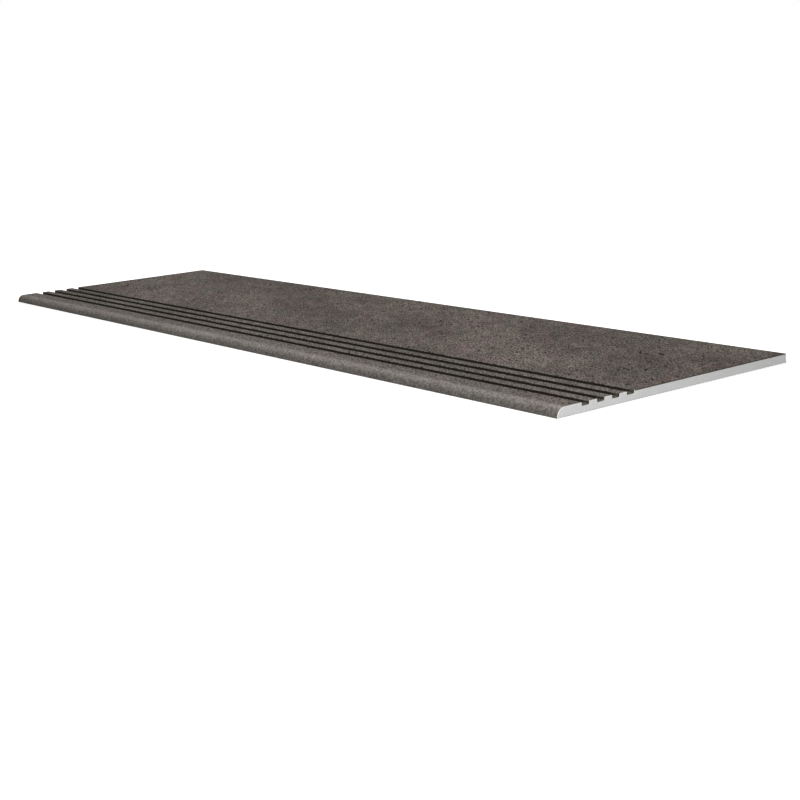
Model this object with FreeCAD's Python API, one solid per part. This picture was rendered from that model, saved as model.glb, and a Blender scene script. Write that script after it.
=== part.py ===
import FreeCAD, Part
import math
import os

# A stair nosing tile: one dry-pressed, fired porcelain slab that covers a stair tread.
# Its front edge is rounded into a nose, and four anti-slip grooves run along the step just
# behind it. The underside has the shallow pockets that key the slab into its adhesive.
#
# Millimetres. X runs along the step, Y from the nose (-Y) to the back edge (+Y), Z is up.
# The origin lies under the middle of the slab, on the face that it rests on.

# The slab
LENGTH = 1200.0
DEPTH = 330.0
THICKNESS = 10.0

# The nose: a quarter round from the tread down to a narrow flat foot
NOSE_RADIUS = 9.2

# The anti-slip grooves, counted from the nose
GROOVE_COUNT = 4
GROOVE_WIDTH = 10.0  # across the mouth, between the sharp edges that the lips round off
GROOVE_DEPTH = 3.5
GROOVE_PITCH = 20.0
FIRST_GROOVE = 36.6  # from the front of the nose to the middle of the first groove
GROOVE_DRAFT = 5.0  # degrees that each wall leans out, so that the press die releases
LIP_RADIUS = 0.6
ROOT_RADIUS = 0.8

# The slab's other long edges
FOOT_ARRIS = 0.4  # radius under the nose
BACK_ARRIS = 1.2  # radius of the glazed edge at the back of the tread
HEEL_ARRIS = 0.4  # radius under the back edge

# The keying pockets of the underside
POCKET_LENGTH = 38.0
POCKET_WIDTH = 26.0
POCKET_DEPTH = 0.6
POCKET_DRAFT = 0.5  # how far each wall leans in, over the pocket's depth
RIB_WIDTH = 4.0  # left standing between two pockets
RIM_WIDTH = 12.0  # least plain border round all the pockets

# Where things lie
LEFT_END = -LENGTH / 2
FRONT = -DEPTH / 2
BACK = DEPTH / 2


def unit(a, b):
    """The direction from point a to point b."""
    return (b - a).normalize()


def rounded_outline(corners):
    """A closed wire in the YZ plane through corners (y, z, radius), each rounded to its radius."""
    points = [FreeCAD.Vector(LEFT_END, y, z) for y, z, _ in corners]
    entries, middles, exits = [], [], []
    for i, (_, _, radius) in enumerate(corners):
        corner = points[i]
        arriving = unit(points[i - 1], corner)
        leaving = unit(corner, points[(i + 1) % len(points)])
        half_turn = arriving.getAngle(leaving) / 2
        setback = radius * math.tan(half_turn)
        inward = (leaving - arriving).normalize()
        entries.append(corner - arriving * setback)
        middles.append(corner + inward * radius * (1 / math.cos(half_turn) - 1))
        exits.append(corner + leaving * setback)
    edges = []
    for i in range(len(corners)):
        edges.append(Part.Arc(entries[i], middles[i], exits[i]).toShape())
        following = entries[(i + 1) % len(corners)]
        edges.append(Part.LineSegment(exits[i], following).toShape())
    return Part.Wire(edges)


def groove_corners(middle):
    """The section corners of one groove, from its front lip to its back lip."""
    lean = GROOVE_DEPTH * math.tan(math.radians(GROOVE_DRAFT))
    half_mouth = GROOVE_WIDTH / 2
    half_floor = half_mouth - lean
    floor = THICKNESS - GROOVE_DEPTH
    return [
        (middle - half_mouth, THICKNESS, LIP_RADIUS),
        (middle - half_floor, floor, ROOT_RADIUS),
        (middle + half_floor, floor, ROOT_RADIUS),
        (middle + half_mouth, THICKNESS, LIP_RADIUS),
    ]


def slab():
    """The tile's section, drawn out along the step."""
    corners = [(FRONT, 0, FOOT_ARRIS), (FRONT, THICKNESS, NOSE_RADIUS)]
    for number in range(GROOVE_COUNT):
        corners += groove_corners(FRONT + FIRST_GROOVE + number * GROOVE_PITCH)
    corners += [(BACK, THICKNESS, BACK_ARRIS), (BACK, 0, HEEL_ARRIS)]
    section = Part.Face(rounded_outline(corners))
    return section.extrude(FreeCAD.Vector(LENGTH, 0, 0))


def pocket_middles(extent, size):
    """The middles of an even number of pockets that fit along an extent, with a rib at its centre."""
    pitch = size + RIB_WIDTH
    pairs = int((extent - 2 * RIM_WIDTH + RIB_WIDTH) // (2 * pitch))
    return [(number + 0.5) * pitch for number in range(-pairs, pairs)]


def rectangle(length, width, z):
    """A rectangular wire about the Z axis, at height z."""
    x, y = length / 2, width / 2
    corners = [(-x, -y), (x, -y), (x, y), (-x, y), (-x, -y)]
    return Part.makePolygon([FreeCAD.Vector(cx, cy, z) for cx, cy in corners])


def pocket_cutter():
    """One keying pocket with leaning walls, about the Z axis."""
    mouth = rectangle(POCKET_LENGTH, POCKET_WIDTH, 0)
    floor = rectangle(
        POCKET_LENGTH - 2 * POCKET_DRAFT, POCKET_WIDTH - 2 * POCKET_DRAFT, POCKET_DEPTH
    )
    return Part.makeLoft([mouth, floor], True, True)


def keying_pockets():
    """Every pocket of the underside, in rows along the step."""
    cutter = pocket_cutter()
    pockets = []
    for y in pocket_middles(DEPTH, POCKET_WIDTH):
        for x in pocket_middles(LENGTH, POCKET_LENGTH):
            pockets.append(cutter.translated(FreeCAD.Vector(x, y, 0)))
    return Part.makeCompound(pockets)


def stair_nosing_tile():
    """The finished tile, in one piece."""
    return slab().cut(keying_pockets())


os.makedirs("parts", exist_ok=True)
tile = stair_nosing_tile()
tile.exportStep("parts/stair_nosing_tile.step")
print("valid", tile.isValid(), "solids", len(tile.Solids), "volume cm3", round(tile.Volume / 1000, 1))
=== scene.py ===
import math
from functools import cached_property
from typing import NamedTuple

import bmesh
import bpy
from mathutils import Matrix, Vector

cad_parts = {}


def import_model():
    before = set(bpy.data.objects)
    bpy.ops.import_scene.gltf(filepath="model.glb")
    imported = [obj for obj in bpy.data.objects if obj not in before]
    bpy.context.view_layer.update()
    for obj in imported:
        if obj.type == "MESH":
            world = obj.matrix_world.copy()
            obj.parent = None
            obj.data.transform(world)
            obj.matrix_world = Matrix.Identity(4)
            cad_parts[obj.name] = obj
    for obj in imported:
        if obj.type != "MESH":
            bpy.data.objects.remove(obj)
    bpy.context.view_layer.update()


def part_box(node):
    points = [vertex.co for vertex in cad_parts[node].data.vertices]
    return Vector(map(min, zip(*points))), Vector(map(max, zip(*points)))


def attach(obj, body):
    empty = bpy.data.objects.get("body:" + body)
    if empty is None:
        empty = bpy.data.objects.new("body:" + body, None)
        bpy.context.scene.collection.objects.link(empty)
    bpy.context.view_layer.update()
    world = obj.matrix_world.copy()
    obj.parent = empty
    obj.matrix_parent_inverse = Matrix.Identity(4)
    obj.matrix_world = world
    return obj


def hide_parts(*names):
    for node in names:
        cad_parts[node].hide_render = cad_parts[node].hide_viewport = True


# The dressed stair nosing tile: the slab's fired glaze, its pale ground ends and its keyed underside.
# Metres, in the part's frame: X along the step, Y from the nose (-Y) to the back edge, Z up.

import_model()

NODE = "stair_nosing_tile"
MM = 0.001


class Noise(NamedTuple):
    """One noise of a material, with features about size metres wide.

    The place says where it is taken from in its endless pattern, in metres along X and Y, and the
    stretch says how many times longer its features are along the slant.
    """

    size: float
    place: tuple = (0.0, 0.0)
    stretch: float = 1.0
    detail: float = 2.0


class Specks(NamedTuple):
    """One scatter of specks: at most one to a cell of the spacing, none larger than the radius."""

    spacing: float
    radius: float
    place: tuple = (0.0, 0.0)
    stretch: float = 1.0


# The slab's section
NOSE_RADIUS = 9.2 * MM
GROOVE_COUNT = 4
GROOVE_WIDTH = 10.0 * MM
GROOVE_DEPTH = 3.5 * MM
GROOVE_PITCH = 20.0 * MM
FIRST_GROOVE = 36.6 * MM
GROOVE_DRAFT = math.radians(5)
LIP_RADIUS = 0.6 * MM
ROOT_RADIUS = 0.8 * MM
FOOT_ARRIS = 0.4 * MM
BACK_ARRIS = 1.2 * MM
HEEL_ARRIS = 0.4 * MM

# The keying pockets of the underside
POCKET_LENGTH = 38.0 * MM
POCKET_WIDTH = 26.0 * MM
POCKET_DEPTH = 0.6 * MM
POCKET_DRAFT = 0.8 * MM
RIB_WIDTH = 4.0 * MM
RIM_WIDTH = 12.0 * MM
WALL_STEPS = 3

# The ground ends
END_ARRIS = 0.3 * MM
GLAZE_EDGE = 1.2 * MM  # how far the glaze shows down an end, behind the grooves
PALE_RIM = 0.8 * MM  # how wide the bare rim is where the glaze is ground off the nose

# How finely the arcs are drawn, and from which angle on an edge is shaded as sharp
ARC_STEP = math.radians(11)
NOSE_STEP = math.radians(3)
SHARP_ANGLE = math.radians(30)

# Which way the clouds and the grain are drawn out, from +X
SLANT = math.radians(-36)

# The layers of the glaze, from the widest to the finest
BROAD = Noise(120 * MM, (2.71, -0.74), 1.6)
CLUSTERS = Noise(90 * MM, (1.82, 3.03), detail=1.0)
CLOUDS = Noise(42 * MM, (-5.19, -3.68), 2.0, detail=1.0)
PATCHES = Noise(38 * MM, (5.3, -5.3), 1.6)
WARM = Noise(30 * MM, (3.1, -3.1), 2.0, detail=1.0)
MOTTLE = Noise(13 * MM, (4.2, -4.2), 2.2)
DOTS = Specks(7.0 * MM, 1.75 * MM, (2.0, -2.0), 3.0)
PITS = Specks(6.0 * MM, 1.7 * MM, stretch=2.4)
FLECKS = Noise(3.4 * MM, (8.8, -8.8))
NOSE_GRAIN = Noise(2.2 * MM, (6.1, -6.1), detail=1.0)
TOP_GRAIN = Noise(1.6 * MM, (1.3, -1.3), 3.0, detail=1.0)

# The layers of the bare body
KILN_WASH = Noise(55 * MM, (7.3, 0), detail=4.0)
BODY_CLOUDS = Noise(22 * MM, detail=3.0)
BODY_SPECKS = Specks(3.0 * MM, 0.5 * MM)
BODY_GRAIN = Noise(1.3 * MM, (4.1, 0))

# How strongly each surface mirrors light, where 0.5 is common for a smooth glaze
GLAZE_SHEEN = 0.08
BODY_SHEEN = 0.2

# Colours as they look on a screen, from 0 to 255
RED_BROWN = (96, 85, 81)
GREEN_BROWN = (95, 89, 82)
WARM_BROWN = (104, 96, 89)
GREY_BROWN = (92, 89, 85)
STAIN_BROWN = (98, 80, 60)
RED_DUST = (94, 88, 80)
GREEN_DUST = (92, 89, 80)
# The grooves' walls: painted shade.
WALL_SHADE_BROWN = (30, 26, 20)
BODY_GREY = (204, 204, 204)
BODY_WHITE = (213, 213, 212)
WASH_WHITE = (226, 224, 219)
RIM_WHITE = (228, 225, 218)
GLAZE_BROWN = (58, 52, 45)
FLOOR_GREY = (128, 128, 128)
FLOOR_WHITE = (230, 230, 230)

# The floor
FLOOR_REACH = 30.0
FLOOR_LAP = 1.0 * MM  # how far it runs in under the tile
FLOOR_GAP = 0.05 * MM
SHADOW_REACH = 35.0 * MM  # how far the floor's own light holds back for the shadow

# The photograph's point of view
CAMERA_PLACE = (1.5607, -1.0728, 0.3168)
CAMERA_TARGET = (0.4222, -0.2096, 0.0)
CAMERA_ROLL = math.radians(-2.953)
CAMERA_LENS = 66.436
CAMERA_SENSOR = 36.0
CAMERA_REACH = 100.0

# The even light from all round
FILL_COLOUR = (0.8, 0.8, 0.8, 1.0)
FILL_STRENGTH = 0.4

WHITE = (1.0, 1.0, 1.0, 1.0)

low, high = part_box(NODE)
LEFT, RIGHT = low.x, high.x
FRONT, BACK = low.y, high.y
THICKNESS = high.z - low.z
LAST_LIP = FRONT + FIRST_GROOVE + (GROOVE_COUNT - 1) * GROOVE_PITCH + GROOVE_WIDTH / 2

# What each strip of the surface is, by its material's number
GLAZED, GROOVED, BARE = 0, 1, 2


# The slab's shape


def rounded(corners):
    """Points (y, z, surface) round corners (y, z, radius, surface of the round, surface after it).

    Each point's surface is that of the strip that follows it.
    """
    points = []
    flat = [Vector((y, z)) for y, z, _, _, _ in corners]
    for i, (_, _, radius, on_round, after) in enumerate(corners):
        corner = flat[i]
        arriving = (corner - flat[i - 1]).normalized()
        leaving = (flat[(i + 1) % len(flat)] - corner).normalized()
        turn = arriving.angle(leaving)
        setback = radius * math.tan(turn / 2)
        inward = (leaving - arriving).normalized()
        centre = corner + inward * radius / math.cos(turn / 2)
        step = NOSE_STEP if radius == NOSE_RADIUS else ARC_STEP
        count = max(2, math.ceil(turn / step))
        start = corner - arriving * setback - centre
        across = arriving * radius
        for k in range(count + 1):
            angle = turn * k / count
            place = centre + start * math.cos(angle) + across * math.sin(angle)
            points.append((place.x, place.y, on_round if k < count else after))
    return points


def groove_corners(middle):
    """One groove's corners, from its front lip to its back lip."""
    half_mouth = GROOVE_WIDTH / 2
    half_floor = half_mouth - GROOVE_DEPTH * math.tan(GROOVE_DRAFT)
    floor_height = THICKNESS - GROOVE_DEPTH
    return [
        (middle - half_mouth, THICKNESS, LIP_RADIUS, GLAZED, GROOVED),
        (middle - half_floor, floor_height, ROOT_RADIUS, GROOVED, GROOVED),
        (middle + half_floor, floor_height, ROOT_RADIUS, GROOVED, GROOVED),
        (middle + half_mouth, THICKNESS, LIP_RADIUS, GLAZED, GLAZED),
    ]


def pockets_each_side(extent, size):
    """How many pockets fit between the middle and the rim along one extent."""
    return int((extent - 2 * RIM_WIDTH + RIB_WIDTH) // (2 * (size + RIB_WIDTH)))


def pocket_lines(extent, size):
    """Where the pockets' walls need mesh lines along one extent, low to high."""
    count = pockets_each_side(extent, size)
    lines = []
    for number in range(-count, count):
        middle = (number + 0.5) * (size + RIB_WIDTH)
        for k in range(WALL_STEPS + 1):
            lines.append(middle - size / 2 + POCKET_DRAFT * k / WALL_STEPS)
        for k in range(WALL_STEPS + 1):
            lines.append(middle + size / 2 - POCKET_DRAFT * (1 - k / WALL_STEPS))
    return lines


def inside(place, extent, size):
    """How far a place is inside a pocket along one extent, from 0 at the wall's top to 1 at its foot."""
    pitch = size + RIB_WIDTH
    if abs(place) >= pockets_each_side(extent, size) * pitch:
        return 0.0
    offset = abs((place % pitch) - pitch / 2)
    return min(1.0, max(0.0, (size / 2 - offset) / POCKET_DRAFT))


def pocket_depth(x, y):
    """The underside's height at a place: a rounded rib or a pocket's floor."""
    along = inside(x, RIGHT - LEFT, POCKET_LENGTH)
    across = inside(y, BACK - FRONT, POCKET_WIDTH)
    share = min(along, across)
    return POCKET_DEPTH * share * share * (3 - 2 * share)


def section():
    """The whole section's outline as points (y, z, surface)."""
    corners = [
        (FRONT, 0, FOOT_ARRIS, GLAZED, GLAZED),
        (FRONT, THICKNESS, NOSE_RADIUS, GLAZED, GLAZED),
    ]
    for number in range(GROOVE_COUNT):
        corners += groove_corners(FRONT + FIRST_GROOVE + number * GROOVE_PITCH)
    corners.append((BACK, THICKNESS, BACK_ARRIS, GLAZED, BARE))
    corners.append((BACK, 0, HEEL_ARRIS, BARE, BARE))
    bed = reversed(pocket_lines(BACK - FRONT, POCKET_WIDTH))
    return rounded(corners) + [(y, 0.0, BARE) for y in bed]


def drawn_in(points, distance):
    """The outline moved inward by a distance."""
    narrowest = 0.5  # keeps a sharp corner from running away
    moved = []
    for i, (y, z, surface) in enumerate(points):
        before, after = points[i - 1], points[(i + 1) % len(points)]
        here = Vector((y, z))
        arriving = (here - Vector(before[:2])).normalized()
        leaving = (Vector(after[:2]) - here).normalized()
        along = (arriving + leaving).normalized()
        spread = max(narrowest, along.dot(leaving))
        place = here + Vector((along.y, -along.x)) * distance / spread
        moved.append((place.x, place.y, surface))
    return moved


def tile_mesh():
    """The slab as one closed mesh, with its material numbers set."""
    outline = section()
    arris = drawn_in(outline, END_ARRIS)
    lines = pocket_lines(RIGHT - LEFT, POCKET_LENGTH)
    rings = [(LEFT, arris)]
    rings += [(x, outline) for x in [LEFT + END_ARRIS] + lines + [RIGHT - END_ARRIS]]
    rings += [(RIGHT, arris)]

    built = bmesh.new()
    rows = []
    for x, points in rings:
        row = []
        for y, z, _ in points:
            lift = pocket_depth(x, y) if z <= 0 else 0.0
            row.append(built.verts.new((x, y, z + lift)))
        rows.append(row)
    last = len(rows) - 2
    for i in range(len(rows) - 1):
        for j in range(len(outline)):
            k = (j + 1) % len(outline)
            face = built.faces.new((rows[i][j], rows[i + 1][j], rows[i + 1][k], rows[i][k]))
            face.smooth = True
            face.material_index = BARE if i in (0, last) else outline[j][2]
    for row in (rows[0], rows[-1][::-1]):
        cap = built.faces.new(row)
        cap.material_index = BARE
        cap.normal_update()
        bmesh.ops.triangulate(built, faces=[cap])
    mesh = bpy.data.meshes.new("tile")
    built.to_mesh(mesh)
    built.free()
    mesh.set_sharp_from_angle(angle=SHARP_ANGLE)
    return mesh


# What the materials are made with


def paint(colour):
    """A screen colour as the linear value that shaders take."""
    def linear(value):
        share = value / 255
        return share / 12.92 if share <= 0.04045 else ((share + 0.055) / 1.055) ** 2.4

    return (*(linear(value) for value in colour), 1.0)


class Recipe:
    """The node tree of a material or world, with short calls for the nodes that it uses."""

    def __init__(self, owner):
        owner.use_nodes = True
        self.owner = owner
        self.tree = owner.node_tree
        self.tree.nodes.clear()

    def add(self, kind, inputs=(), **settings):
        """A node with its settings and inputs, by name or number; an input that is a socket is linked."""
        node = self.tree.nodes.new(kind)
        for name, value in settings.items():
            setattr(node, name, value)
        for key, value in dict(inputs).items():
            if isinstance(value, bpy.types.NodeSocket):
                self.tree.links.new(value, node.inputs[key])
            else:
                node.inputs[key].default_value = value
        return node

    @cached_property
    def place(self):
        """The place on the object, in metres."""
        return self.add("ShaderNodeTexCoord").outputs["Object"]

    @cached_property
    def axes(self):
        """The place along X, Y and Z."""
        return self.add("ShaderNodeSeparateXYZ", {"Vector": self.place}).outputs

    def math(self, operation, a, b=0.0):
        return self.add("ShaderNodeMath", {0: a, 1: b}, operation=operation).outputs[0]

    def plus(self, a, b):
        return self.math("ADD", a, b)

    def minus(self, a, b):
        return self.math("SUBTRACT", a, b)

    def times(self, a, b):
        return self.math("MULTIPLY", a, b)

    def cells(self, size, place, stretch):
        """Places counted in cells of a size, longer by the stretch along the slant."""
        inputs = {
            "Vector": self.place,
            "Location": (*place, 0),
            "Rotation": (0, 0, SLANT),
            "Scale": (size * stretch, size, size),
        }
        return self.add("ShaderNodeMapping", inputs, vector_type="TEXTURE").outputs[0]

    def noise(self, layer):
        """A noise, mostly from 0.25 to 0.75."""
        vector = self.cells(layer.size, layer.place, layer.stretch)
        inputs = {"Vector": vector, "Scale": 1.0, "Detail": layer.detail}
        return self.add("ShaderNodeTexNoise", inputs).outputs[0]

    def span(self, value, given, wanted=(0.0, 1.0)):
        """A value mapped smoothly from the given span to the wanted one, and held at the ends."""
        inputs = {0: value, 1: given[0], 2: given[1], 3: wanted[0], 4: wanted[1]}
        return self.add("ShaderNodeMapRange", inputs, interpolation_type="SMOOTHSTEP").outputs[0]

    def about_one(self, noise, strength):
        """A noise as a factor that swings about 1."""
        return self.plus(1.0, self.times(self.span(noise, (0.25, 0.75), (-1.0, 1.0)), strength))

    def specks(self, layer, share):
        """Ragged specks in a share of the cells: 1 inside a speck, 0 elsewhere."""
        spacing, radius, place, stretch = layer
        inputs = {"Vector": self.cells(spacing, place, stretch), "Scale": 1.0}
        cells = self.add("ShaderNodeTexVoronoi", inputs, feature="F1")
        chance = self.add("ShaderNodeSeparateColor", {"Color": cells.outputs["Color"]}).outputs
        ragged = self.noise(Noise(0.9 * radius, place, stretch, detail=1.0))
        away = self.plus(cells.outputs["Distance"], self.span(ragged, (0.2, 0.8), (-0.08, 0.08)))
        reach = self.span(chance[1], (0.0, 1.0), (0.5 * radius / spacing, radius / spacing))
        near = self.span(self.minus(away, reach), (-0.05, 0.03), (1.0, 0.0))
        return self.times(near, self.math("LESS_THAN", chance[0], share))

    # The mix node's inputs share their names between kinds of data, so they go by number.

    def between(self, share, a, b):
        """Two values mixed by a share."""
        return self.add("ShaderNodeMix", {0: share, 2: a, 3: b}, data_type="FLOAT").outputs[0]

    def mix(self, share, a, b):
        """Two colours mixed by a share."""
        return self.add("ShaderNodeMix", {0: share, 6: a, 7: b}, data_type="RGBA").outputs[2]

    def gain(self, colour, factor):
        """A colour times a factor."""
        node = self.add("ShaderNodeVectorMath", {0: colour, "Scale": factor}, operation="SCALE")
        return node.outputs[0]

    def dimmed(self, colour, mask, loss):
        """A colour that loses a share of its light where the mask is 1."""
        return self.gain(colour, self.minus(1.0, self.times(mask, loss)))

    def seen(self):
        """1 for the rays that show a thing itself: to the camera, in a sheen or through glass."""
        rays = self.add("ShaderNodeLightPath").outputs
        seen = rays["Is Camera Ray"]
        for kind in ("Is Glossy Ray", "Is Transmission Ray"):
            seen = self.math("MAXIMUM", seen, rays[kind])
        return seen

    def mixed_shaders(self, share, a, b):
        """Two shaders mixed by a share."""
        return self.add("ShaderNodeMixShader", {0: share, 1: a, 2: b}).outputs[0]

    def finish(self, colour, roughness, height, depth, sheen):
        """Ends a material in a shader; depth is how far the height rises, in metres."""
        bump = self.add("ShaderNodeBump", {"Height": height, "Distance": depth, "Strength": 1.0})
        inputs = {
            "Base Color": colour,
            "Roughness": roughness,
            "Normal": bump.outputs[0],
            "Specular IOR Level": sheen,
        }
        shader = self.add("ShaderNodeBsdfPrincipled", inputs)
        self.add("ShaderNodeOutputMaterial", {"Surface": shader.outputs[0]})
        return self.owner


# The materials


def clouds(r):
    """How far the glaze leans from red-brown to green-brown, from 0 to 1."""
    return r.span(r.noise(CLOUDS), (0.38, 0.62))


def tinted(r, from_front, up_to_grooves):
    """The glaze's colour, cloud by cloud, and more grey from the nose to the last groove; the strongest
    grey, on the nose, is part of its painted highlight.
    """
    colour = r.mix(clouds(r), paint(RED_BROWN), paint(GREEN_BROWN))
    warm = r.span(r.noise(WARM), (0.45, 0.7), (0.0, 0.65))
    colour = r.mix(warm, colour, paint(WARM_BROWN))
    # More grey towards the nose; on the nose this grey is part of the painted highlight.
    grey_and_highlight = r.times(up_to_grooves, r.span(from_front, (6 * MM, 18 * MM), (0.8, 0.55)))
    return r.mix(grey_and_highlight, colour, paint(GREY_BROWN))


def glaze_grain(r, from_front, on_top):
    """The glaze's fine grain as a factor about 1, round and calm on the nose."""
    coarser = r.span(from_front, (50 * MM, 130 * MM), (0.0, 0.16))
    graining = r.plus(r.span(from_front, (6 * MM, 18 * MM), (0.38, 0.56)), coarser)
    return r.about_one(r.between(on_top, r.noise(NOSE_GRAIN), r.noise(TOP_GRAIN)), graining)


def glaze_pits(r, from_front):
    """The glaze's fine pits, in patches, and fewest on the nose."""
    patches = r.span(r.noise(PATCHES), (0.4, 0.64), (0.15, 0.95))
    pitting = r.span(from_front, (8 * MM, 30 * MM), (0.2, 1.0))
    return r.times(r.specks(PITS, patches), pitting)


def glaze_dots(r, from_front, on_top):
    """The glaze's dark dots, in clusters, faint among the grooves and none on the nose."""
    clusters = r.span(r.noise(CLUSTERS), (0.48, 0.66), (0.06, 0.85))
    dotting = r.times(on_top, r.span(from_front, (30 * MM, 110 * MM), (0.3, 1.0)))
    return r.times(r.specks(DOTS, clusters), dotting)


def painted_highlight_and_shade(r, from_front, from_back, up_to_grooves):
    """Painted light on the glaze: a highlight on the nose's crest and over the front, and shade at the
    foot and the back.
    """
    # Painted highlight on the nose's crest; painted shade at the nose's foot and along the back edge.
    crest = r.minus(r.span(from_front, (0.0, 7 * MM)), r.span(from_front, (7 * MM, 16 * MM)))
    foot = r.span(from_front, (0.0, 3 * MM), (0.86, 1.0))
    back = r.span(from_back, (1.5 * MM, 5 * MM), (0.8, 1.0))
    # Painted light over the flat behind the crest and over the front up to the grooves.
    painted_front_light = r.plus(r.span(from_front, (12 * MM, 34 * MM), (0.08, 0.0)), r.times(up_to_grooves, 0.08))
    light = r.plus(1.11, r.plus(painted_front_light, r.times(crest, 0.88)))
    return r.times(back, r.times(foot, light))


def glaze():
    """The matt glaze: grey-brown clouds, fine grain, dark dots in clusters, and a painted highlight on the
    nose.
    """
    r = Recipe(bpy.data.materials.new("matt glaze"))
    x, y, _ = r.axes
    from_front = r.minus(y, FRONT)
    on_top = r.span(from_front, (6 * MM, 14 * MM))
    up_to_grooves = r.span(from_front, (90 * MM, 120 * MM), (1.0, 0.0))

    swing = r.span(from_front, (20 * MM, 120 * MM), (0.06, 0.27))
    mottling = r.span(from_front, (0.0, 130 * MM), (0.08, 0.2))
    grain = glaze_grain(r, from_front, on_top)
    factors = (
        r.about_one(r.noise(BROAD), swing),
        r.about_one(r.noise(MOTTLE), mottling),
        grain,
        r.about_one(r.noise(FLECKS), 0.12),
    )
    colour = tinted(r, from_front, up_to_grooves)
    for factor in factors:
        colour = r.gain(colour, factor)

    pits = glaze_pits(r, from_front)
    colour = r.dimmed(colour, pits, 0.88)
    colour = r.dimmed(colour, glaze_dots(r, from_front, on_top), 0.95)
    # Painted highlight on the nose and over the front, painted shade at the nose's foot and along the back
    # edge.
    colour = r.gain(colour, painted_highlight_and_shade(r, from_front, r.minus(BACK, y), up_to_grooves))

    # The tip of the nose at the left end is stained.
    by_left = r.span(r.minus(x, LEFT), (2 * MM, 16 * MM), (1.0, 0.0))
    at_front = r.span(from_front, (1 * MM, 7 * MM), (1.0, 0.0))
    colour = r.mix(r.times(by_left, at_front), colour, paint(STAIN_BROWN))

    roughness = r.span(grain, (0.7, 1.3), (0.85, 0.75))
    return r.finish(colour, roughness, height=r.minus(grain, pits), depth=0.03 * MM, sheen=GLAZE_SHEEN)


def groove_glaze():
    """The glaze in the grooves: dust-coloured on their floors, with painted shade on their walls."""
    r = Recipe(bpy.data.materials.new("groove glaze"))
    x, _, z = r.axes
    above_floor = r.minus(z, THICKNESS - GROOVE_DEPTH)
    from_end = r.minus(RIGHT, r.math("ABSOLUTE", x))
    dust = r.mix(clouds(r), paint(RED_DUST), paint(GREEN_DUST))
    up_wall = r.span(above_floor, (0.1 * MM, 0.9 * MM))

    # Near the open ends the painted wall shade gives way on the lower part of the walls: painted light
    # where light reaches in at the ends.
    low_down = r.span(above_floor, (2.0 * MM, 3.0 * MM), (1.0, 0.0))
    lit_near_ends = r.times(r.span(from_end, (0.0, 16 * MM), (0.5, 0.0)), low_down)
    # Painted shade on the groove walls, weaker near the open ends.
    dark = r.times(up_wall, r.minus(1.0, lit_near_ends))
    grain = r.about_one(r.noise(TOP_GRAIN), 0.5)
    colour = r.gain(r.mix(dark, dust, paint(WALL_SHADE_BROWN)), grain)
    return r.finish(colour, roughness=0.8, height=grain, depth=0.04 * MM, sheen=GLAZE_SHEEN)


def biscuit():
    """The pale fired body: the ground ends, the back edge and the keyed underside."""
    r = Recipe(bpy.data.materials.new("fired body"))
    _, y, z = r.axes
    colour = r.mix(r.noise(BODY_CLOUDS), paint(BODY_GREY), paint(BODY_WHITE))
    grain = r.about_one(r.noise(BODY_GRAIN), 0.07)
    colour = r.dimmed(r.gain(colour, grain), r.specks(BODY_SPECKS, 0.3), 0.12)

    # Kiln wash lies in patches on the underside, and the pockets' floors are a little darker.
    under = r.span(z, (0.7 * MM, 1.0 * MM), (1.0, 0.0))
    wash = r.span(r.noise(KILN_WASH), (0.42, 0.6), (0.0, 0.55))
    colour = r.mix(r.times(under, wash), colour, paint(WASH_WHITE))
    in_pocket = r.times(under, r.span(z, (0.1 * MM, 0.5 * MM)))
    colour = r.dimmed(colour, in_pocket, 0.1)

    # On the ends, a bare pale rim follows the nose, and the glaze shows behind the last groove.
    ahead = r.math("MAXIMUM", r.minus(FRONT + NOSE_RADIUS, y), 0.0)
    up = r.minus(z, THICKNESS - NOSE_RADIUS)
    outward = r.math("SQRT", r.plus(r.times(ahead, ahead), r.times(up, up)))
    rim = r.span(outward, (NOSE_RADIUS - PALE_RIM, NOSE_RADIUS - 0.5 * PALE_RIM))
    colour = r.mix(rim, colour, paint(RIM_WHITE))
    behind = r.span(y, (LAST_LIP, LAST_LIP + 1 * MM))
    at_edge = r.span(z, (THICKNESS - GLAZE_EDGE, THICKNESS - 0.7 * GLAZE_EDGE))
    colour = r.mix(r.times(behind, at_edge), colour, paint(GLAZE_BROWN))
    return r.finish(colour, roughness=0.85, height=grain, depth=0.02 * MM, sheen=BODY_SHEEN)


def white_ground():
    """The floor and backdrop: white to the camera, with the object's soft shadow, and clear from below."""
    r = Recipe(bpy.data.materials.new("white ground"))
    x, y, _ = r.axes
    past_end = r.minus(r.math("ABSOLUTE", x), RIGHT)
    past_side = r.minus(r.math("ABSOLUTE", y), BACK)
    away = r.math("MAXIMUM", past_end, past_side)
    own_light = r.span(away, (0.0, SHADOW_REACH), (0.5, 0.98))
    bounce = r.add("ShaderNodeBsdfDiffuse", {"Color": paint(FLOOR_GREY)}).outputs[0]
    shown = r.add("ShaderNodeBsdfDiffuse", {"Color": paint(FLOOR_WHITE)}).outputs[0]
    glow = r.add("ShaderNodeEmission", {"Strength": own_light}).outputs[0]
    lit = r.add("ShaderNodeAddShader", {0: shown, 1: glow}).outputs[0]
    from_above = r.mixed_shaders(r.seen(), bounce, lit)
    from_below = r.add("ShaderNodeBsdfTransparent").outputs[0]
    below = r.add("ShaderNodeNewGeometry").outputs["Backfacing"]
    whole = r.mixed_shaders(below, from_above, from_below)
    r.add("ShaderNodeOutputMaterial", {"Surface": whole})
    return r.owner


# The pieces and the stage


def tile():
    """The dressed tile, which stands for the solid one."""
    mesh = tile_mesh()
    for material in (glaze(), groove_glaze(), biscuit()):
        mesh.materials.append(material)
    piece = bpy.data.objects.new("dressed_tile", mesh)
    bpy.context.collection.objects.link(piece)
    weighted = piece.modifiers.new("even shading", "WEIGHTED_NORMAL")
    weighted.keep_sharp = True
    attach(piece, "root")
    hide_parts(NODE)


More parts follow.
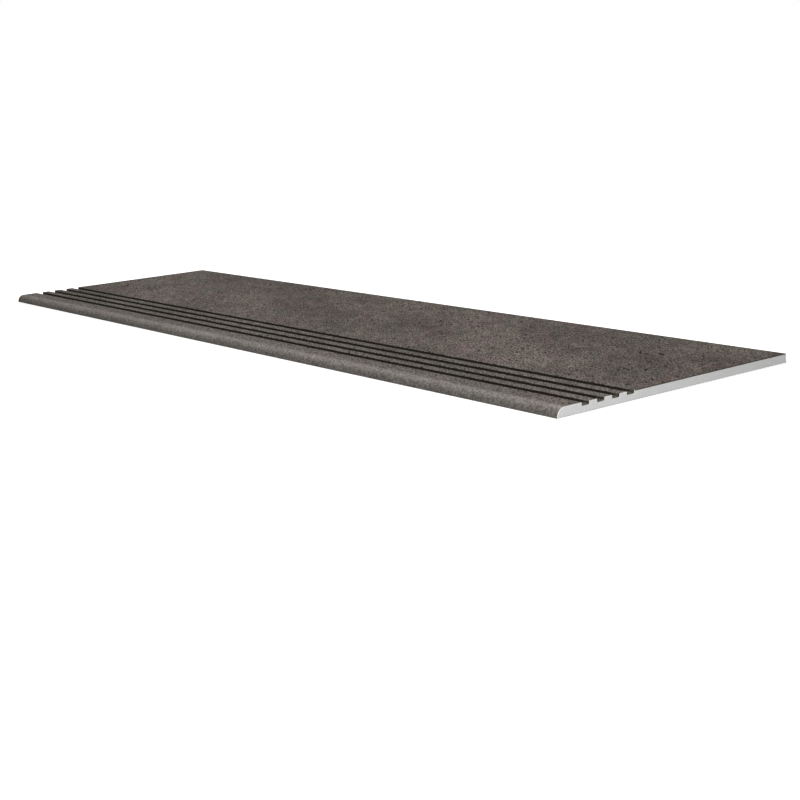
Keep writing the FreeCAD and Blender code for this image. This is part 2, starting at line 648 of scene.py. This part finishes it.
def floor():
    """A wide plain floor, open under the tile, so that the underside shows from below."""
    built = bmesh.new()
    squares = []
    for x, y in ((RIGHT - FLOOR_LAP, BACK - FLOOR_LAP), (FLOOR_REACH, FLOOR_REACH)):
        corners = [(-x, -y), (x, -y), (x, y), (-x, y)]
        squares.append([built.verts.new((cx, cy, -FLOOR_GAP)) for cx, cy in corners])
    inner, outer = squares
    for i in range(4):
        k = (i + 1) % 4
        built.faces.new((outer[i], outer[k], inner[k], inner[i]))
    mesh = bpy.data.meshes.new("floor")
    built.to_mesh(mesh)
    built.free()
    mesh.materials.append(white_ground())
    plane = bpy.data.objects.new("floor", mesh)
    bpy.context.collection.objects.link(plane)


def aimed(thing, place, target, roll=0.0):
    """Puts a lamp or camera at a place, looking at a target, its right side tipped by roll."""
    thing.location = place
    turn = (Vector(target) - Vector(place)).to_track_quat("-Z", "Y").to_matrix()
    thing.rotation_euler = (turn @ Matrix.Rotation(roll, 3, "Z")).to_euler()


def lamp(name, place, target, size, power, sheen=True):
    """A soft rectangular lamp, with or without a sheen on what it lights."""
    light = bpy.data.lights.new(name, "AREA")
    light.shape = "RECTANGLE"
    light.size, light.size_y = size
    light.energy = power
    thing = bpy.data.objects.new(name, light)
    thing.visible_glossy = sheen
    bpy.context.collection.objects.link(thing)
    aimed(thing, place, target)


def lamps():
    """Soft lamps over the nose, at the right end, behind the back edge and under the bed."""
    lamp("key", place=(0.45, -0.62, 0.62), target=(0.45, -0.05, 0.0), size=(2.2, 0.4), power=7.15)
    lamp("side", place=(1.45, -0.56, 0.16), target=(0.6, -0.08, 0.005), size=(0.5, 0.4), power=7.0)
    lamp("back", place=(-0.8, 1.5, 0.22), target=(-0.2, 0.15, 0.0), size=(2.6, 0.4), power=16, sheen=False)
    lamp("below", place=(0.3, -1.3, -0.7), target=(0.0, 0.0, 0.0), size=(1.6, 0.5), power=12, sheen=False)


def world():
    """Even light from all round, and white where the camera sees past the floor."""
    r = Recipe(bpy.data.worlds.new("studio"))
    fill = r.add("ShaderNodeBackground", {"Color": FILL_COLOUR, "Strength": FILL_STRENGTH}).outputs[0]
    white = r.add("ShaderNodeBackground", {"Color": WHITE, "Strength": 1.0}).outputs[0]
    r.add("ShaderNodeOutputWorld", {"Surface": r.mixed_shaders(r.seen(), fill, white)})
    bpy.context.scene.world = r.owner


def camera():
    """The photograph's point of view."""
    data = bpy.data.cameras.new("camera")
    data.sensor_width = CAMERA_SENSOR
    data.lens = CAMERA_LENS
    data.clip_end = CAMERA_REACH
    thing = bpy.data.objects.new("camera", data)
    bpy.context.collection.objects.link(thing)
    aimed(thing, CAMERA_PLACE, CAMERA_TARGET, CAMERA_ROLL)
    bpy.context.scene.camera = thing


tile()
floor()
world()
lamps()
camera()
bpy.context.scene.view_settings.view_transform = "Standard"
